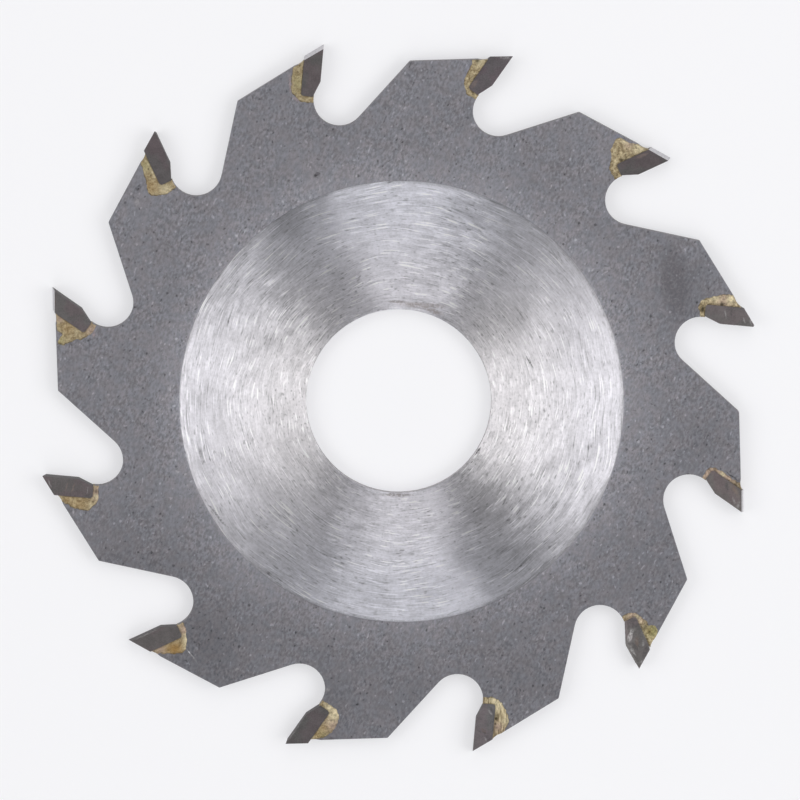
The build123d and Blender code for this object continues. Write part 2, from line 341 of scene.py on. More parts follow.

# Darker places: direction, distance from the ring's centre, reach and how much darker. On the ring they are
# painted shade that deepens the dark fans of its reflections; on the plate they are darker patches.
painted_shade_on_ring = [(240, 24, 9, 0.07), (305, 25, 9, 0.22), (262, 27, 6, 0.18), (52, 28, 6, 0.08),
                (307, 19, 5, 0.2), (182, 28, 8, 0.12), (183, 15, 5, 0.1), (122, 29.5, 5, 0.3),
                (142, 23, 5, 0.12)]
darker_on_plate = [(214, 42, 9, 0.14), (231, 43, 9, 0.18), (22, 42, 8, 0.16), (257, 44, 6, 0.12),
                 (352, 42, 7, 0.1)]

# Other colours. Cut walls are brighter in the bore, and the braze's tones are pink, pale, green and orange.
cut_tint = (118, 115, 117)
bore_shine = (14, 16, 2.2, 1.0)
tip_top_tint = (196, 194, 197)
# The tips' walls are painted darker than their fronts: painted shade for the dark surroundings they mirror.
tip_wall_shade_tint = (84, 79, 79)
dull_braze = (152, 135, 103)
bright_braze = (173, 160, 131)
tone_tints = [(168, 148, 132), (198, 186, 155), (147, 142, 98), (156, 126, 80)]
floor_tint = (245, 245, 247)
glow_tint = (250, 250, 253)
floor_glow = 0.5

# A face is a wall if its normal is less upright than this, and a tip's top if it points further outward
wall_limit = 0.5
top_limit = 0.6


def colour(red, green, blue):
    """Linear colour of an sRGB one written from 0 to 255."""
    parts = [part / 255 for part in (red, green, blue)]
    return [part / 12.92 if part <= 0.04045 else ((part + 0.055) / 1.055) ** 2.4 for part in parts] + [1.0]


def direction(angle):
    """Unit vector in the plane of the blade, at an angle from X."""
    return Vector((math.cos(math.radians(angle)), math.sin(math.radians(angle))))


# A tooth is drawn in the tip's own coordinates, (down, back): down the cutting face and back from it.
cutting_point = Vector((0, blade_radius))
down_the_face = direction(-90 - hook_angle)
back_from_face = direction(180 - hook_angle)


def own_parts(offset):
    """(down, back) of an offset in the tooth frame, where Y runs outward through the cutting edge."""
    return Vector((offset.dot(down_the_face), offset.dot(back_from_face)))


def own_coordinates(point):
    """(down, back) of a point in the tooth frame."""
    return own_parts(point - cutting_point)


def tooth_turn(number):
    """Angle from the tooth frame to a tooth's place on the blade."""
    return first_tooth_angle - 90 - (number - 1) * pitch


def on_blade(number, place, height):
    """Point of a tooth in metres on the blade, from its (down, back) and its height in millimetres."""
    flat = cutting_point + down_the_face * place[0] + back_from_face * place[1]
    point = Matrix.Rotation(math.radians(tooth_turn(number)), 2) @ flat
    return Vector((point.x, point.y, height)) * mm


heel = own_coordinates((blade_radius - heel_drop) * direction(90 + heel_lag))
shoulder_end = Vector((shoulder_down, tip_thickness))
shoulder_start = shoulder_end + own_parts(direction(180 + shoulder_slope) * shoulder_length)
to_gullet = direction(-hook_angle - gullet_tilt) * (gullet_radius + toe_inset)
gullet_centre = Vector((tip_length, toe_chamfer_back)) + own_parts(to_gullet)


def top_edge(back):
    """How far down the plate's top edge lies at a distance back."""
    places = [0, shoulder_end.y, shoulder_start.y, heel.y]
    slope = (shoulder_start.x - shoulder_end.x) / (shoulder_start.y - shoulder_end.y)
    depths = [shoulder_end.x - shoulder_end.y * slope, shoulder_end.x, shoulder_start.x, heel.x]
    return float(np.interp(back, places, depths))


def gullet_wall(down):
    """How far back the gullet's wall lies at a distance down, or its centre beyond its reach."""
    return gullet_centre.y + math.sqrt(max(0.0, gullet_radius**2 - (down - gullet_centre.x) ** 2))


# Braze

def curve_through(points, step):
    """Points at even steps on a Catmull-Rom curve through some points."""
    ends = [2 * points[0] - points[1]] + points + [2 * points[-1] - points[-2]]
    curve = []
    for a, b, c, d in zip(ends, ends[1:], ends[2:], ends[3:]):
        count = max(2, round((c - b).length / step))
        for place in range(count):
            share = place / count
            curve.append(0.5 * (2 * b + (c - a) * share + (2 * a - 5 * b + 4 * c - d) * share**2
                                + (3 * b - a - 3 * c + d) * share**3))
    return curve + [points[-1]]


def tip_path(offset):
    """Points along the tip's bottom and back, from the gullet up to the shoulder, moved out by an offset."""
    radius = tip_corner_radius + offset
    middle = Vector((tip_length - tip_corner_radius, tip_thickness - tip_corner_radius))
    floor = tip_length + offset
    path = [Vector((floor, gullet_wall(floor) + bottom_step * step)) for step in range(4)]
    path += [middle + direction(angle) * radius for angle in range(0, 91, 15)]
    wall = tip_thickness + offset
    rise = middle.x - top_edge(wall)
    return path + [Vector((middle.x - rise * step / back_steps, wall)) for step in range(1, back_steps + 1)]


def braze_outline(points, number, wander):
    """Closed outline of a smear, and the part of it that is its outer edge."""
    points = [Vector(point) for point in points]
    points[0].x = top_edge(points[0].y)
    points[-1].y = gullet_wall(points[-1].x)
    outer = curve_through(points, outline_step)
    for place, point in enumerate(outer[1:-1], 1):
        spot = Vector((point.x * wander_waves, point.y * wander_waves, number * outline_shift))
        along = (outer[place + 1] - outer[place - 1]).normalized()
        outer[place] = point + Vector((along.y, -along.x)) * noise.noise(spot) * wander
    for point in outer[1:-1]:
        point.x = max(point.x, top_edge(point.y) + least_inset)
        point.y = max(point.y, gullet_wall(point.x) + least_inset)
    inner = tip_path(-under_tip)
    wall_downs = np.arange(outer[-1].x - side_step, inner[0].x, -side_step)
    wall = [Vector((down, gullet_wall(down))) for down in wall_downs]
    top_backs = np.arange(tip_thickness, outer[0].y - 0.05, side_step)
    top = [Vector((top_edge(back), back)) for back in top_backs]
    return outer + wall + inner + top, outer


def distances(points, path):
    """Distance of each point from a path of points."""
    points = np.array(points)[:, None, :]
    start, end = np.array(path[:-1])[None], np.array(path[1:])[None]
    run = end - start
    share = ((points - start) * run).sum(2) / np.maximum((run * run).sum(2), 1e-9)
    nearest = start + np.clip(share, 0, 1)[..., None] * run
    return np.sqrt(((points - nearest) ** 2).sum(2)).min(1)


def filled(outline):
    """Flat mesh inside an outline, with points on an even grid: its places and its triangles."""
    corners = np.array(outline)
    low, high = corners.min(0), corners.max(0)
    rows = np.arange(low[0], high[0], cell * math.sqrt(0.75))
    grid = [(row, column + cell / 2 * (index % 2))
            for index, row in enumerate(rows) for column in np.arange(low[1], high[1], cell)]
    near = distances(grid, list(corners) + [corners[0]])
    free = [point for point, distance in zip(grid, near) if distance > cell * 0.6]
    count = len(outline)
    places = [Vector(point) for point in list(outline) + free]
    result = geometry.delaunay_2d_cdt(places, [], [list(range(count))], 1, 1e-5)
    return result[0], [face for face in result[2] if len(face) == 3]


def braze_heights(places, outer, number, side):
    """Height of the braze over the plate's face at each place, with its lumps."""
    edge = np.clip(distances(places, outer) / braze_edge, 0, 1)
    rounded = np.sqrt(1 - (1 - edge) ** 2)
    from_top = np.array([place[0] - top_edge(place[1]) for place in places])
    from_gullet = np.array([place[1] - gullet_wall(place[0]) for place in places])
    for gap in (from_top, from_gullet):
        rounded *= edge_share + (1 - edge_share) * np.sqrt(np.clip(gap / edge_reach, 0, 1))
    beside = np.clip(distances(places, tip_path(0)) / beside_reach, 0, 1)
    rounded *= beside_share + (1 - beside_share) * beside
    heights = np.empty(len(places))
    for index, place in enumerate(places):
        spot = Vector((*place, number * lump_shift + side))
        broad = noise.noise(spot * 1.3)
        fine = noise.noise(spot * 3.4) + 0.5 * noise.noise(spot * 7.0)
        lumps = least_lumps + more_lumps * braze_lumpiness[number - 1]
        heights[index] = rounded[index] * (braze_crown + swell * broad + lumps * fine)
    return np.maximum(heights, thinnest)


def spot_weight(places, down, back, radius):
    """How strongly a soft round spot covers each place."""
    flat = np.array([tuple(place) for place in places])
    return np.exp(-((flat - (down, back)) ** 2).sum(1) / radius**2)


def pressed(places, heights, spots):
    """Heights of the braze with its pits pressed in."""
    for kind, *spot in spots:
        if kind == "pit":
            heights = heights * (1 - pit_depth * spot_weight(places, *spot))
    return heights


def paint(piece, number):
    """Stores how pink, pale, green, orange, dark, lumpy and streaky a tooth's braze is at each place."""
    turn = Matrix.Rotation(math.radians(-tooth_turn(number)), 2)
    vertices = piece.data.vertices
    places = [own_coordinates(turn @ (vert.co.xy / mm)) for vert in vertices]
    front = np.array([vert.co.z > 0 for vert in vertices])
    tones = np.zeros((len(places), 4))
    # Painted shade: a dark line in the crease between the braze and the tip.
    dark = seam_shade * np.exp(-(distances(places, tip_path(0)) / seam_shade_width) ** 2)
    for kind, *spot in braze_spots[number]:
        weight = spot_weight(places, *spot) * front
        if kind in spot_darkness:
            dark += spot_darkness[kind] * weight
        else:
            tones += weight[:, None] * np.array(spot_tones[kind])
    finish = np.zeros((len(places), 4))
    finish[:, 0] = dark
    finish[:, 1] = braze_lumpiness[number - 1]
    finish[:, 2] = number == streaky_braze
    for label, values in (("tone", tones), ("finish", finish)):
        attribute = piece.data.attributes.new(label, "FLOAT_COLOR", "POINT")
        attribute.data.foreach_set("color", np.clip(values, 0, 1).astype(np.float32).ravel())


def smear(name, number, side, points, spots, wander):
    """Closed lumpy smear of braze on one face of the plate."""
    outline, outer = braze_outline(points, number, wander)
    places, faces = filled(outline)
    heights = pressed(places, braze_heights(places, outer, number, side), spots)
    upper = [on_blade(number, place, side * (half_plate + height)) for place, height in zip(places, heights)]
    lower = [on_blade(number, place, side * (half_plate - sunk)) for place in places]
    return closed_mesh(name, upper, lower, faces)


def closed_mesh(name, upper, lower, faces):
    """Solid between two sheets of the same triangles."""
    count = len(upper)
    edges = dict.fromkeys(edge for face in faces for edge in zip(face, face[1:] + face[:1]))
    rim = [(a, b) for a, b in edges if (b, a) not in edges]
    skin = list(faces) + [[count + corner for corner in reversed(face)] for face in faces]
    skin += [[b, a, count + a, count + b] for a, b in rim]
    mesh = bpy.data.meshes.new(name)
    mesh.from_pydata(upper + lower, [], skin)
    made = bmesh.new()
    made.from_mesh(mesh)
    bmesh.ops.delete(made, geom=[vert for vert in made.verts if not vert.link_faces], context="VERTS")
    bmesh.ops.recalc_face_normals(made, faces=made.faces)
    made.to_mesh(mesh)
    made.free()
    return bpy.data.objects.new(name, mesh)


def film(name, number):
    """Braze in the seat, between the tip and the plate, and its fillet behind the tip's top."""
    near = tip_path(-film_under_tip)
    far = tip_path(braze_gap + film_in_plate)
    rise = fillet_rises[number - 1]
    for back, share in fillet:
        foot = tip_thickness + back
        near.append(Vector((near[-1].x - rise / len(fillet), near[-1].y)))
        far.append(Vector((top_edge(foot) + sunk - (rise + sunk) * share, foot)))
    outline = near + far[::-1]
    height = half_plate + sunk / 2
    upper = [on_blade(number, place, height) for place in outline]
    lower = [on_blade(number, place, -height) for place in outline]
    last = len(outline) - 1
    faces = [[place, place + 1, last - 1 - place, last - place] for place in range(len(near) - 1)]
    return closed_mesh(name, upper, lower, faces)


def apply_modifiers(piece):
    """Puts what a piece's modifiers make of it into its mesh."""
    bpy.context.view_layer.update()
    mesh = bpy.data.meshes.new_from_object(piece.evaluated_get(bpy.context.evaluated_depsgraph_get()))
    piece.modifiers.clear()
    piece.data = mesh


def join(base, others):
    """Joins solids that overlap a piece to it, as one closed mesh."""
    for other in others:
        bpy.context.scene.collection.objects.link(other)
        union = base.modifiers.new("union", "BOOLEAN")
        union.operation = "UNION"
        union.solver = "EXACT"
        union.object = other
    apply_modifiers(base)
    for other in others:
        bpy.data.objects.remove(other)


def worn_place(place, wear):
    """A point of a worn tip, as (down, back), moved in from its eaten top and its chipped point."""
    slope = math.radians(hook_angle + top_relief)
    inward = Vector((math.cos(slope), -math.sin(slope)))
    depth = place.dot(inward)
    place = place + inward * wear["top"] * max(0.0, 1 - depth / top_reach) ** 2
    start = Vector((wear["chip"], 0))
    end = Vector((math.sin(slope), math.cos(slope))) * wear["chip"]
    across = Vector((end.y, start.x - end.x)).normalized()
    return place - across * min(0.0, (place - start).dot(across))


def worn_height(place, height, wear):
    """Height of a point of a worn tip once its edge is rolled off and its dents are pressed in."""
    if height <= 0:
        return height
    drop = 0.0
    if wear["roll"]:
        drop = roll_depth * max(0.0, 1 - distances([place], wear["roll"])[0] / roll_width) ** 1.2
    for down, back, radius, depth in wear["dents"]:
        drop += depth * math.exp(-((place.x - down) ** 2 + (place.y - back) ** 2) / radius**2)
    return height - drop * min(1.0, height / full_wear_height)


def even_copy(plain, name):
    """A copy of a solid, remade in small even cells."""
    mesh = plain.data.copy()
    mesh.transform(plain.matrix_world)
    made = bmesh.new()
    made.from_mesh(mesh)
    bmesh.ops.remove_doubles(made, verts=made.verts, dist=0.001 * mm)
    made.to_mesh(mesh)
    made.free()
    copy = bpy.data.objects.new(name, mesh)
    bpy.context.scene.collection.objects.link(copy)
    cells = copy.modifiers.new("cells", "REMESH")
    cells.mode = "VOXEL"
    cells.voxel_size = worn_cell * mm
    apply_modifiers(copy)
    return copy


def finish_surface(piece, material, crease):
    """Gives a piece one material, and smooth faces with edges that stay sharp beyond an angle."""
    piece.data.materials.clear()
    piece.data.materials.append(material)
    piece.data.shade_smooth()
    piece.data.set_sharp_from_angle(angle=math.radians(crease))


def make_worn_tip(number):
    """A tip with its skin eaten unevenly and its edges worn, made from the plain tip's own solid."""
    plain = nodes[f"carbide_tip_{number:02d}"]
    wear = worn_tips[number]
    tip = even_copy(plain, f"worn_tip_{number:02d}")
    turn = Matrix.Rotation(math.radians(tooth_turn(number)), 2)
    for vert, way in [(vert, -vert.normal) for vert in tip.data.vertices]:
        spot = vert.co / mm
        eaten = 0.5 + 0.5 * noise.noise(spot * 2.2) + 0.4 * noise.noise(spot * 5.0)
        spot = spot + way * max(least_wear, wear["skin"] * eaten)
        place = worn_place(own_coordinates(turn.inverted() @ spot.xy), wear)
        vert.co = on_blade(number, place, worn_height(place, spot.z, wear))
    finish_surface(tip, None, tip_crease)
    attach(tip, "root")
    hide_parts(plain.name)
    return tip


def make_braze(number, material):
    """Braze of one tooth: the film in its seat with a smear on each face."""
    name = f"braze_{number:02d}"
    piece = film(name, number)
    bpy.context.scene.collection.objects.link(piece)
    front = smear(name + "_front", number, 1, front_braze[number - 1], braze_spots[number], front_wander)
    back = smear(name + "_back", number, -1, back_braze, [], back_wander)
    join(piece, [front, back])
    paint(piece, number)
    finish_surface(piece, material, braze_crease)
    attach(piece, "root")
    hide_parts(f"braze_seam_{number:02d}")


# Materials

def is_output(value):
    """Whether a value is the output of a node."""
    return isinstance(value, bpy.types.NodeSocket)


def node(kind, inputs=(), tree=None, **settings):
    """Adds a node. Its inputs are values or other nodes' outputs, whose tree it joins if none is named."""
    inputs = dict(inputs)
    tree = tree or next(value.id_data for value in inputs.values() if is_output(value))
    made = tree.nodes.new(kind)
    for name, value in settings.items():
        setattr(made, name, value)
    for key, value in inputs.items():
        if is_output(value):
            tree.links.new(value, made.inputs[key])
        else:
            made.inputs[key].default_value = value
    return made


def maths(operation, *values):
    """Output of a Math node."""
    return node("ShaderNodeMath", enumerate(values), operation=operation).outputs[0]


def chain(operation, values):
    """Output of Math nodes in a row, which take some values one after another."""
    total = values[0]
    for value in values[1:]:
        total = maths(operation, total, value)
    return total


def add(*values):
    """Sum of some values."""
    return chain("ADD", values)


def times(*values):
    """Product of some values."""
    return chain("MULTIPLY", values)


def vector_maths(operation, *values):
    """Output of a Vector Math node, which is a number for a length, a distance or a dot product."""
    made = node("ShaderNodeVectorMath", enumerate(values), operation=operation)
    return made.outputs["Value" if operation in ("LENGTH", "DISTANCE", "DOT_PRODUCT") else "Vector"]


def scaled(vector, factor):
    """A vector or a colour, written or from another node, times a number."""
    start = vector if is_output(vector) else vector[:3]
    return node("ShaderNodeVectorMath", {0: start, "Scale": factor}, operation="SCALE").outputs[0]


def noise_at(vector, scale, detail=2.0, roughness=0.5):
    """Output of a Noise texture at a vector, from 0 to 1."""
    inputs = {"Vector": vector, "Scale": scale, "Detail": detail, "Roughness": roughness}
    return node("ShaderNodeTexNoise", inputs).outputs["Fac"]


def ramp(value, start, end, low=0.0, high=1.0):
    """A value eased from low to high between two limits."""
    inputs = {"Value": value, "From Min": start, "From Max": end, "To Min": low, "To Max": high}
    return node("ShaderNodeMapRange", inputs, interpolation_type="SMOOTHSTEP").outputs[0]


def blend(share, a, b):
    """Mix of two colours."""
    return node("ShaderNodeMix", {0: share, 6: a, 7: b}, data_type="RGBA").outputs[2]


def new_material(name, **values):
    """A material with one Principled shader, its node tree, and the shader's inputs."""
    material = bpy.data.materials.new(name)
    material.use_nodes = True
    inputs = material.node_tree.nodes["Principled BSDF"].inputs
    for key, value in values.items():
        inputs[key.replace("_", " ").title()].default_value = value
    return material, material.node_tree, inputs


def link(inputs, **outputs):
    """Links outputs to inputs by the inputs' names in small letters."""
    for key, output in outputs.items():
        output.id_data.links.new(output, inputs[key.replace("_", " ").title()])


def stretched(vector, scale, shift=(0, 0, 0)):
    """A vector stretched, then moved."""
    return node("ShaderNodeMapping", {"Vector": vector, "Scale": scale, "Location": shift}).outputs[0]


def turned(vector, angle, scale, shift=(0, 0, 0)):
    """A vector turned about Z, then stretched and moved."""
    rotation = (0, 0, math.radians(angle))
    round_z = node("ShaderNodeMapping", {"Vector": vector, "Rotation": rotation}).outputs[0]
    return stretched(round_z, scale, shift)


def axes(vector):
    """The three parts of a vector."""
    return node("ShaderNodeSeparateXYZ", {0: vector}).outputs


def millimetres(tree):
    """The place on the object in millimetres."""
    place = node("ShaderNodeTexCoord", tree=tree).outputs["Object"]
    return stretched(place, [1 / mm] * 3)


def flat_from_ring_centre(place):
    """The way from the ring's centre to a place, flat in the blade's plane."""
    offset = vector_maths("SUBTRACT", place, (*ring_centre, 0))
    return vector_maths("MULTIPLY", offset, (1, 1, 0))


def from_ring_centre(place):
    """How far a place is from the ring's centre."""
    return vector_maths("LENGTH", flat_from_ring_centre(place))


def polar(place, arc, across, shift=0):
    """Coordinates that run round the bore, for marks of a length along the arc and a width across."""
    flat = flat_from_ring_centre(place)
    round_part = scaled(vector_maths("NORMALIZE", flat), ring_middle / arc)
    layer = add(maths("DIVIDE", vector_maths("LENGTH", flat), across), shift)
    return vector_maths("ADD", round_part, node("ShaderNodeCombineXYZ", {2: layer}).outputs[0])


def bump(height, distance):
    """A normal from a height that is a share of a distance in millimetres."""
    return node("ShaderNodeBump", {"Height": height, "Distance": distance * mm}).outputs[0]


def wobbled(place, reach, scale, detail):
    """A place moved about by noise, by about half a reach in millimetres at most."""
    stir = node("ShaderNodeTexNoise", {"Vector": place, "Scale": scale, "Detail": detail})
    centred = vector_maths("SUBTRACT", stir.outputs["Color"], (0.5, 0.5, 0.5))
    return vector_maths("ADD", place, vector_maths("MULTIPLY", centred, (reach, reach, 0)))


def blot(place, start, end, width):
    """How much a soft mark that runs from one point to another covers a place."""
    run, middle = end - start, (start + end) / 2
    inputs = {"Vector": place, "Location": (*middle, 0), "Rotation": (0, 0, math.atan2(run.y, run.x)),
              "Scale": (run.length / 2 + width, width, mark_depth)}
    near = node("ShaderNodeMapping", inputs, vector_type="TEXTURE").outputs[0]
    return ramp(vector_maths("LENGTH", near), *mark_fade, 1.0, 0.0)


def marked(place, tint, marks):
    """A colour with marks laid over it on the front face."""
    ragged = wobbled(place, mark_stir, 1.8, 2.0)
    broken = ramp(noise_at(place, 3.2, 2.0, 0.6), 0.36, 0.58, 0.3, 1.0)
    front = ramp(axes(place)[2], 0.0, 0.5)
    for kind in sorted({mark[0] for mark in marks}):
        covers = [blot(ragged, Vector(ends[:2]), Vector(ends[2:]), width)
                  for same, *ends, width in marks if same == kind]
        look, strength = mark_looks[kind]
        share = times(chain("MAXIMUM", covers), front, times(broken, strength))
        tint = blend(share, tint, colour(*look))
    return tint


def tooth_marks_on_blade(numbers):
    """Marks of some teeth, moved from the teeth's own coordinates to the blade's."""
    moved = []
    for number in numbers:
        for kind, *ends, width in tooth_marks[number]:
            start, end = (on_blade(number, point, 0).xy / mm for point in (ends[:2], ends[2:]))
            moved.append((kind, *start, *end, width))
    return moved


def near_place(place, bearing, distance, reach):
    """How near a place is to a point of the blade, from 1 at it to 0 at its reach."""
    point = Vector(ring_centre) + direction(bearing) * distance
    return ramp(vector_maths("DISTANCE", place, (*point, 0)), 0, reach, 1.0, 0.0)


def darkened_near(place, level, places):
    """A level of brightness, lowered near some places of the blade."""
    for *where, loss in places:
        darkening = times(near_place(place, *where), loss)
        level = times(level, maths("SUBTRACT", 1.0, darkening))
    return level


def matte_steel():
    """The plate's dark skin: matte grey with short flecks along the rolling direction."""
    material, tree, inputs = new_material("matte_steel", metallic=0.65)
    place = millimetres(tree)
    flecks = noise_at(turned(place, fleck_lean, [1 / size for size in fleck_size]), 1.0, 3.0, 0.62)
    pits = noise_at(turned(place, fleck_lean, (2.3, 1.7, 2.3), (40, 0, 0)), 1.0, 0.0)
    glints = noise_at(turned(place, fleck_lean, (2.6, 1.6, 2.6), (0, 70, 0)), 1.0, 0.0)
    patches = ramp(noise_at(place, 0.3, 2.0), 0.35, 0.65, 0.13, 0.3)
    level = add(times(ramp(flecks, 0.28, 0.72, -1.0, 1.0), patches),
                ramp(noise_at(place, 0.12, 3.0), 0.3, 0.7, 0.96, 1.04),
                ramp(pits, 0.7, 0.84, 0.0, -0.5), ramp(glints, 0.72, 0.86, 0.0, 0.6))
    reach = from_ring_centre(place)
    for outward in skin_levels:
        level = times(level, ramp(reach, *outward))
    across, up = axes(place)[:2]
    # Painted highlight: a bright line on the skin just outside the ring, at its left and right sides.
    rim = times(ramp(reach, ring_radius, ring_radius + highlight_rim_width, highlight_rim_gain, 0.0),
                ramp(maths("ABSOLUTE", across), *highlight_rim_sides))
    level = darkened_near(place, add(level, rim), darker_on_plate)
    # Painted shade: the skin is darkened towards the bottom of the blade.
    level = times(level, ramp(up, *skin_shading))
    warmth = ramp(noise_at(place, 0.7, 2.0, 0.6), 0.35, 0.65)
    tint = scaled(blend(warmth, colour(*cool_skin), colour(*warm_skin)), level)
    tint = marked(place, tint, tooth_marks_on_blade(tooth_marks) + plate_marks)
    relief = maths("SUBTRACT", flecks, ramp(pits, 0.7, 0.84))
    link(inputs, base_color=tint, roughness=ramp(flecks, 0.3, 0.7, 0.62, 0.5), normal=bump(relief, 0.012))
    return material


def grain_direction(place, broad):
    """The way the ring's grinding runs: round the ring's centre, with its sways and its stray places."""
    sways = [(noise_at(place, 0.14, 1.0), slow_sway), (broad, quick_sway)]
    turns = [times(maths("SUBTRACT", drift, 0.5), sway) for drift, sway in sways]
    turns += [times(near_place(place, *where), turn) for *where, turn in strays]
    tangent = node("ShaderNodeTangent", tree=place.id_data, direction_type="RADIAL", axis="Z").outputs[0]
    inputs = {"Vector": tangent, "Angle": add(*turns)}
    return node("ShaderNodeVectorRotate", inputs, rotation_type="Z_AXIS").outputs[0]


def ring_reflection_tint(across, reach):
    """The ring's colour, by how far out and how far to the side a place is: a painted reflection tint."""
    outward = ramp(reach, *tint_reach)
    tints = [blend(outward, colour(*inner), colour(*outer)) for inner, outer in ring_reflection_tints]
    sideways = maths("ABSOLUTE", maths("DIVIDE", across, reach))
    return blend(ramp(sideways, *tint_sides), *tints)


def strokes(place, arc, width, shift, limits, change):
    """Change in brightness where the noise of single strokes passes its limits."""
    return ramp(noise_at(polar(place, arc, width, shift), 1.0, 0.0), *limits, 0.0, change)


def ground_steel():
    """The bright ring: steel ground in short arcs round the bore, with stray light and dark scratches."""
    looks = {"metallic": 1.0, "anisotropic": 1.0, "anisotropic_rotation": 0.25}
    material, tree, inputs = new_material("ground_steel", **looks)
    place = millimetres(tree)
    stirred = wobbled(place, arc_stir, 0.12, 0.0)
    broad = noise_at(polar(stirred, 3.0, 0.7), 1.0, 3.0, 0.6)
    fine = noise_at(polar(stirred, 1.7, 0.17), 1.0, 1.0, 0.6)
    grain = noise_at(place, 3.0, 2.0, 0.6)
    clouds = noise_at(place, 0.45, 3.0, 0.6)
    crowded = ramp(noise_at(place, 0.16, 2.0), 0.38, 0.62, 0.65, 1.25)
    layers = [ramp(fine, 0.25, 0.75, 0.915, 1.085), ramp(broad, 0.25, 0.75, -0.13, 0.13),
              ramp(grain, 0.25, 0.75, -0.09, 0.09), ramp(clouds, 0.3, 0.7, -0.06, 0.06)]
    layers += [times(strokes(stirred, *kind), crowded) for kind in crowded_strokes]
    layers.append(strokes(stirred, *long_scores))
    # Painted shade on the ring: its dark reflection fans are deepened in places.
    level = darkened_near(place, add(*layers), painted_shade_on_ring)
    reach = from_ring_centre(place)
    across = axes(place)[0]
    edge = add(reach, ramp(grain, 0.3, 0.7, -0.25, 0.25), ramp(across, *edge_stray))
    level = times(level, ramp(edge, ring_radius - edge_fade, ring_radius, 1.0, edge_level))
    tint = marked(place, scaled(ring_reflection_tint(across, reach), level), ring_marks)
    link(inputs, base_color=tint, roughness=ramp(broad, 0.3, 0.7, 0.35, 0.43),
         tangent=grain_direction(place, broad), normal=bump(add(fine, broad), 0.002))
    return material


def cut_steel():
    """The plate's cut edges and the brighter bore wall, with fine lines across the thickness."""
    material, tree, inputs = new_material("cut_steel", metallic=0.7, roughness=0.5)
    place = millimetres(tree)
    lines = noise_at(stretched(place, (6, 6, 0.7)), 1.0, 2.0, 0.6)
    level = times(ramp(lines, 0.25, 0.75, 0.75, 1.2), ramp(from_ring_centre(place), *bore_shine))
    link(inputs, base_color=scaled(colour(*cut_tint), level), normal=bump(lines, 0.01))
    return material


def carbide(number):
    """Sintered carbide of a tip's faces: dark warm grey, with its own shade and marks."""
    material, tree, inputs = new_material(f"carbide_{number:02d}", metallic=0.5)
    place = millimetres(tree)
    grain = noise_at(place, 5.0, 3.0, 0.6)
    clouds = noise_at(place, 0.8, 2.0)
    level = add(ramp(grain, 0.3, 0.7, 0.88, 1.12), ramp(clouds, 0.3, 0.7, -0.1, 0.1))
    red, green, blue = tip_shades[number - 1]
    warmth = ramp(noise_at(place, 0.45, 1.0), 0.4, 0.6)
    tint = blend(warmth, colour(red - 2, green + 1, blue), colour(red + 1, green - 1, blue))
    tint = marked(place, scaled(tint, level), tooth_marks_on_blade([number]))
    link(inputs, base_color=tint, roughness=ramp(grain, 0.3, 0.7, 0.5, 0.4), normal=bump(grain, 0.008))
    return material


def ground_carbide(name, tint, roughness, metallic):
    """Carbide ground on a wheel, with fine lines across the edge."""
    material, tree, inputs = new_material(name, metallic=metallic, roughness=roughness)
    lines = noise_at(stretched(millimetres(tree), (4, 4, 0.8)), 1.0, 2.0, 0.6)
    level = ramp(lines, 0.25, 0.75, 0.85, 1.12)
    link(inputs, base_color=scaled(colour(*tint), level), normal=bump(lines, 0.006))
    return material


def braze():
    """Silver-brass braze: lumpy gold, with pinker, paler, greener and burnt places."""
    material, tree, inputs = new_material("braze", metallic=0.75)
    place = millimetres(tree)
    tone = node("ShaderNodeAttribute", tree=tree, attribute_name="tone")
    finish = node("ShaderNodeAttribute", tree=tree, attribute_name="finish")
    dark, lumpy, streaky = node("ShaderNodeSeparateColor", {0: finish.outputs["Color"]}).outputs
    grain = noise_at(place, 5.5, 2.0, 0.6)
    lumps = noise_at(place, 2.4, 3.0, 0.65)
    streaks = noise_at(stretched(place, (5.0, 0.6, 5.0)), 1.0, 2.0, 0.6)
    lumps = add(times(lumps, maths("SUBTRACT", 1.0, streaky)), times(streaks, streaky))
    tint = blend(ramp(lumps, 0.35, 0.65), colour(*dull_braze), colour(*bright_braze))
    shares = list(node("ShaderNodeSeparateColor", {0: tone.outputs["Color"]}).outputs)
    for share, shade in zip(shares + [tone.outputs["Alpha"]], tone_tints):
        tint = blend(share, tint, colour(*shade))
    depth = ramp(lumpy, 0.3, 1.0, 0.14, 0.42)
    level = times(ramp(lumps, 0.28, 0.72, -1.0, 1.0), depth)
    level = add(level, ramp(grain, 0.3, 0.7, 0.84, 1.14))
    # Darkens pits and dark spots, and the painted shade along the tip's seam.
    level = times(level, maths("SUBTRACT", 1.0, times(dark, burn_and_shade)))
    link(inputs, base_color=scaled(tint, level), roughness=ramp(grain, 0.3, 0.7, 0.42, 0.6),
         normal=bump(add(lumps, grain), 0.03))
    return material


def pale_floor():
    """A plain pale floor that shows near white and keeps a soft shadow."""
    material, tree = new_material("pale_floor", roughness=0.9, base_color=colour(*floor_tint))[:2]
    rays = node("ShaderNodeLightPath", tree=tree)
    seen = maths("MAXIMUM", rays.outputs["Is Camera Ray"], rays.outputs["Is Glossy Ray"])
    share = times(seen, floor_glow)
    glow = node("ShaderNodeEmission", {"Color": colour(*glow_tint)}, tree)
    shader = tree.nodes["Principled BSDF"]
    mixed = node("ShaderNodeMixShader", {0: share, 1: shader.outputs[0], 2: glow.outputs[0]})
    link(tree.nodes["Material Output"].inputs, surface=mixed.outputs[0])
    return material


# A solid's finishes are put on by place and facing: the ring's floor, cut walls and the tips' ground tops.

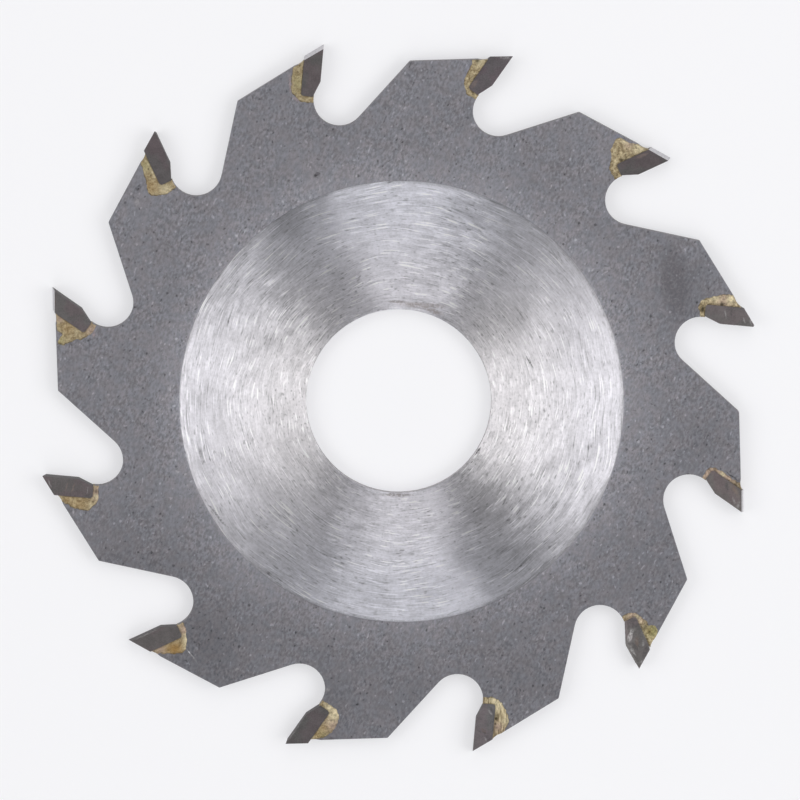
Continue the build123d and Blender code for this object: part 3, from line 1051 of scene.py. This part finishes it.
def finish_tree(name):
    """A geometry node tree with each face's place, its normal, and whether it is a wall."""
    tree = bpy.data.node_groups.new(name, "GeometryNodeTree")
    tree.interface.new_socket("Geometry", in_out="INPUT", socket_type="NodeSocketGeometry")
    tree.interface.new_socket("Geometry", in_out="OUTPUT", socket_type="NodeSocketGeometry")
    place = node("GeometryNodeInputPosition", tree=tree).outputs[0]
    facing = node("GeometryNodeInputNormal", tree=tree).outputs[0]
    upright = axes(facing)[2]
    return tree, place, facing, maths("LESS_THAN", maths("ABSOLUTE", upright), wall_limit)


def set_materials(tree, choices):
    """Gives the chosen faces their materials, one choice after another."""
    geometry = node("NodeGroupInput", tree=tree).outputs[0]
    for chosen, material in choices:
        inputs = {"Geometry": geometry, "Selection": chosen, "Material": material}
        geometry = node("GeometryNodeSetMaterial", inputs).outputs[0]
    tree.links.new(geometry, node("NodeGroupOutput", tree=tree).inputs[0])


def finishes_by_place(ground, cut):
    """Geometry nodes for the materials of the ring's floor and the plate's walls."""
    tree, place, _, is_wall = finish_tree("plate_finishes")
    centre = (ring_centre[0] * mm, ring_centre[1] * mm, 0)
    flat = vector_maths("MULTIPLY", vector_maths("SUBTRACT", place, centre), (1, 1, 0))
    is_ring = maths("LESS_THAN", vector_maths("LENGTH", flat), ring_radius * mm)
    set_materials(tree, [(is_ring, ground), (is_wall, cut)])
    return tree


def tip_finishes(top, wall):
    """Geometry nodes for the materials of a tip's ground top and its other narrow faces."""
    tree, place, facing, is_wall = finish_tree("tip_finishes")
    outward = vector_maths("NORMALIZE", place)
    is_top = maths("GREATER_THAN", vector_maths("DOT_PRODUCT", outward, facing), top_limit)
    set_materials(tree, [(is_wall, wall), (is_top, top)])
    return tree


def dress(piece, material, finishes):
    """Gives a piece its main material, and by its finishes the others."""
    piece.material_slots[0].material = material
    piece.modifiers.new("finishes", "NODES").node_group = finishes


def dress_tips():
    """Gives every tip its own shade and the finishes of its ground faces."""
    top = ground_carbide("carbide_top", tip_top_tint, 0.35, 0.9)
    # The walls' dark colour is painted shade.
    wall = ground_carbide("carbide_wall_shaded", tip_wall_shade_tint, 0.6, 0.3)
    finishes = tip_finishes(top, wall)
    for number in range(1, tooth_count + 1):
        tip = make_worn_tip(number) if number in worn_tips else nodes[f"carbide_tip_{number:02d}"]
        dress(tip, carbide(number), finishes)


# The scene round the blade

def add_to_scene(name, data):
    """A new object in the scene."""
    made = bpy.data.objects.new(name, data)
    bpy.context.scene.collection.objects.link(made)
    return made


def make_camera():
    """The photograph's camera."""
    right = Vector(picture_right).normalized()
    up = Vector(picture_up)
    up = (up - right * up.dot(right)).normalized()
    turn = Matrix((right, up, right.cross(up))).transposed().to_4x4()
    camera = add_to_scene("camera", bpy.data.cameras.new("camera"))
    camera.data.lens = camera_lens
    camera.data.shift_x, camera.data.shift_y = camera_shift
    camera.data.clip_end = 20
    camera.matrix_world = Matrix.Translation(Vector(camera_place) * mm) @ turn
    bpy.context.scene.camera = camera


def make_lights():
    """Soft boxes round the blade and an even world."""
    for name, (bearing, height, width, tall, power) in soft_boxes.items():
        lamp = add_to_scene(name, bpy.data.lights.new(name, "AREA"))
        lamp.data.shape = "RECTANGLE"
        lamp.data.size, lamp.data.size_y = width * mm, tall * mm
        lamp.data.energy = power
        flat = direction(bearing) * math.cos(math.radians(height))
        away = Vector((flat.x, flat.y, math.sin(math.radians(height))))
        lamp.location = away * box_distance * mm
        lamp.rotation_euler = away.to_track_quat("Z", "Y").to_euler()
    world = bpy.data.worlds.new("world")
    world.use_nodes = True
    tree = world.node_tree
    sky = tree.nodes["Background"]
    sky.inputs[0].default_value = (1, 1, 1, 1)
    rays = node("ShaderNodeLightPath", tree=tree)
    link(sky.inputs, strength=ramp(rays.outputs["Is Camera Ray"], 0, 1, world_level, 1.0))
    bpy.context.scene.world = world


def make_floor(height):
    """The floor under the blade."""
    half = floor_size / 2 * mm
    corners = [(x * half, y * half, height) for x, y in ((-1, -1), (1, -1), (1, 1), (-1, 1))]
    mesh = bpy.data.meshes.new("floor")
    mesh.from_pydata(corners, [], [(0, 1, 2, 3)])
    mesh.materials.append(pale_floor())
    floor = add_to_scene("floor", mesh)


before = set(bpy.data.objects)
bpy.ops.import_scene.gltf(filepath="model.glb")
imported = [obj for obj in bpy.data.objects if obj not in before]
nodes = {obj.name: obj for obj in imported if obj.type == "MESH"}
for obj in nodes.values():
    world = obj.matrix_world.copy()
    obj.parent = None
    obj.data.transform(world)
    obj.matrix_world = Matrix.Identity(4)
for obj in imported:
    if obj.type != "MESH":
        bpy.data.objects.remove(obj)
cad_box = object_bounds()
half_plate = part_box("blade_body")[1].z / mm

dress(nodes["blade_body"], matte_steel(), finishes_by_place(ground_steel(), cut_steel()))
dress_tips()
braze_material = braze()
for number in range(1, tooth_count + 1):
    make_braze(number, braze_material)

make_floor(cad_box[0].z)
make_lights()
make_camera()
bpy.context.scene.view_settings.view_transform = "Standard"
